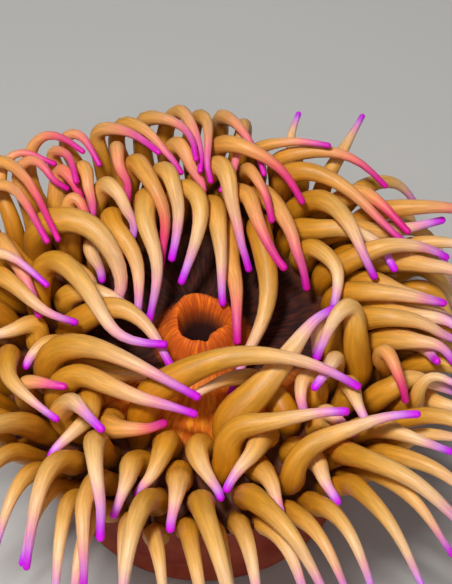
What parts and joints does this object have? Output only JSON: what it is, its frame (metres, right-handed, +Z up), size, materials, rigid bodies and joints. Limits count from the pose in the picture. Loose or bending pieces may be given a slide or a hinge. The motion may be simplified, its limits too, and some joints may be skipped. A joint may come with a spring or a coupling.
{
  "type": "sea anemone",
  "caption": "Sea anemone with a smooth column on a flat foot, an orange oral disc, a raised puckered mouth and a crown of long tapering tentacles with violet tips, in a still living pose.",
  "frame": {"origin": "centre of the flat sole of the foot, on the surface that the animal sits on", "axes": "+Z up along the column, out of the sole and towards the mouth; +X to the right and +Y away, as seen from the front with the crown's open side towards the viewer"},
  "size_m": [0.1306, 0.1203, 0.0686],
  "materials": {
    "column": "smooth, moist, brick red-brown flesh",
    "oral_disc": "moist deep orange flesh with fine dark radial lines",
    "lips": "moist puckered deep orange flesh",
    "throat": "moist dark maroon flesh",
    "tentacle": "moist translucent ochre flesh, turning salmon and then violet towards the tip"
  },
  "bodies": {
    "root": {"pedal_disc": "column", "column_lower": "column", "column_middle": "column", "column_upper": "column", "margin": "column", "oral_disc": "oral_disc", "lips": "lips", "throat": "throat", "tentacles_A1": "tentacle", "tentacles_A2": "tentacle", "tentacles_A3": "tentacle", "tentacles_A4": "tentacle", "tentacles_A5": "tentacle", "tentacles_A6": "tentacle", "tentacles_A7": "tentacle", "tentacles_A8": "tentacle", "tentacles_A9": "tentacle", "tentacles_A10": "tentacle", "tentacles_A11": "tentacle", "tentacles_A12": "tentacle", "tentacles_A13": "tentacle", "tentacles_A14": "tentacle", "tentacles_B1": "tentacle", "tentacles_B2": "tentacle", "tentacles_B3": "tentacle", "tentacles_B4": "tentacle", "tentacles_B5": "tentacle", "tentacles_B6": "tentacle", "tentacles_B7": "tentacle", "tentacles_B8": "tentacle", "tentacles_B9": "tentacle", "tentacles_B10": "tentacle", "tentacles_B11": "tentacle", "tentacles_B12": "tentacle", "tentacles_B13": "tentacle", "tentacles_B14": "tentacle", "tentacles_C1": "tentacle", "tentacles_C2": "tentacle", "tentacles_C3": "tentacle", "tentacles_C4": "tentacle", "tentacles_C5": "tentacle", "tentacles_C6": "tentacle", "tentacles_C7": "tentacle", "tentacles_D1": "tentacle", "tentacles_D2": "tentacle", "tentacles_D3": "tentacle", "tentacles_D4": "tentacle", "tentacles_D5": "tentacle", "tentacles_D6": "tentacle", "tentacles_D7": "tentacle", "tentacle_A5_tip": "tentacle", "tentacle_A8_tip": "tentacle", "tentacle_A14_tip": "tentacle", "tentacle_A19_tip": "tentacle", "tentacle_A22_tip": "tentacle", "tentacle_B4_tip": "tentacle", "tentacle_B13_tip": "tentacle", "tentacle_B15_tip": "tentacle", "tentacle_B26_tip": "tentacle", "tentacle_C5_tip": "tentacle"}
  },
  "joints": []
}
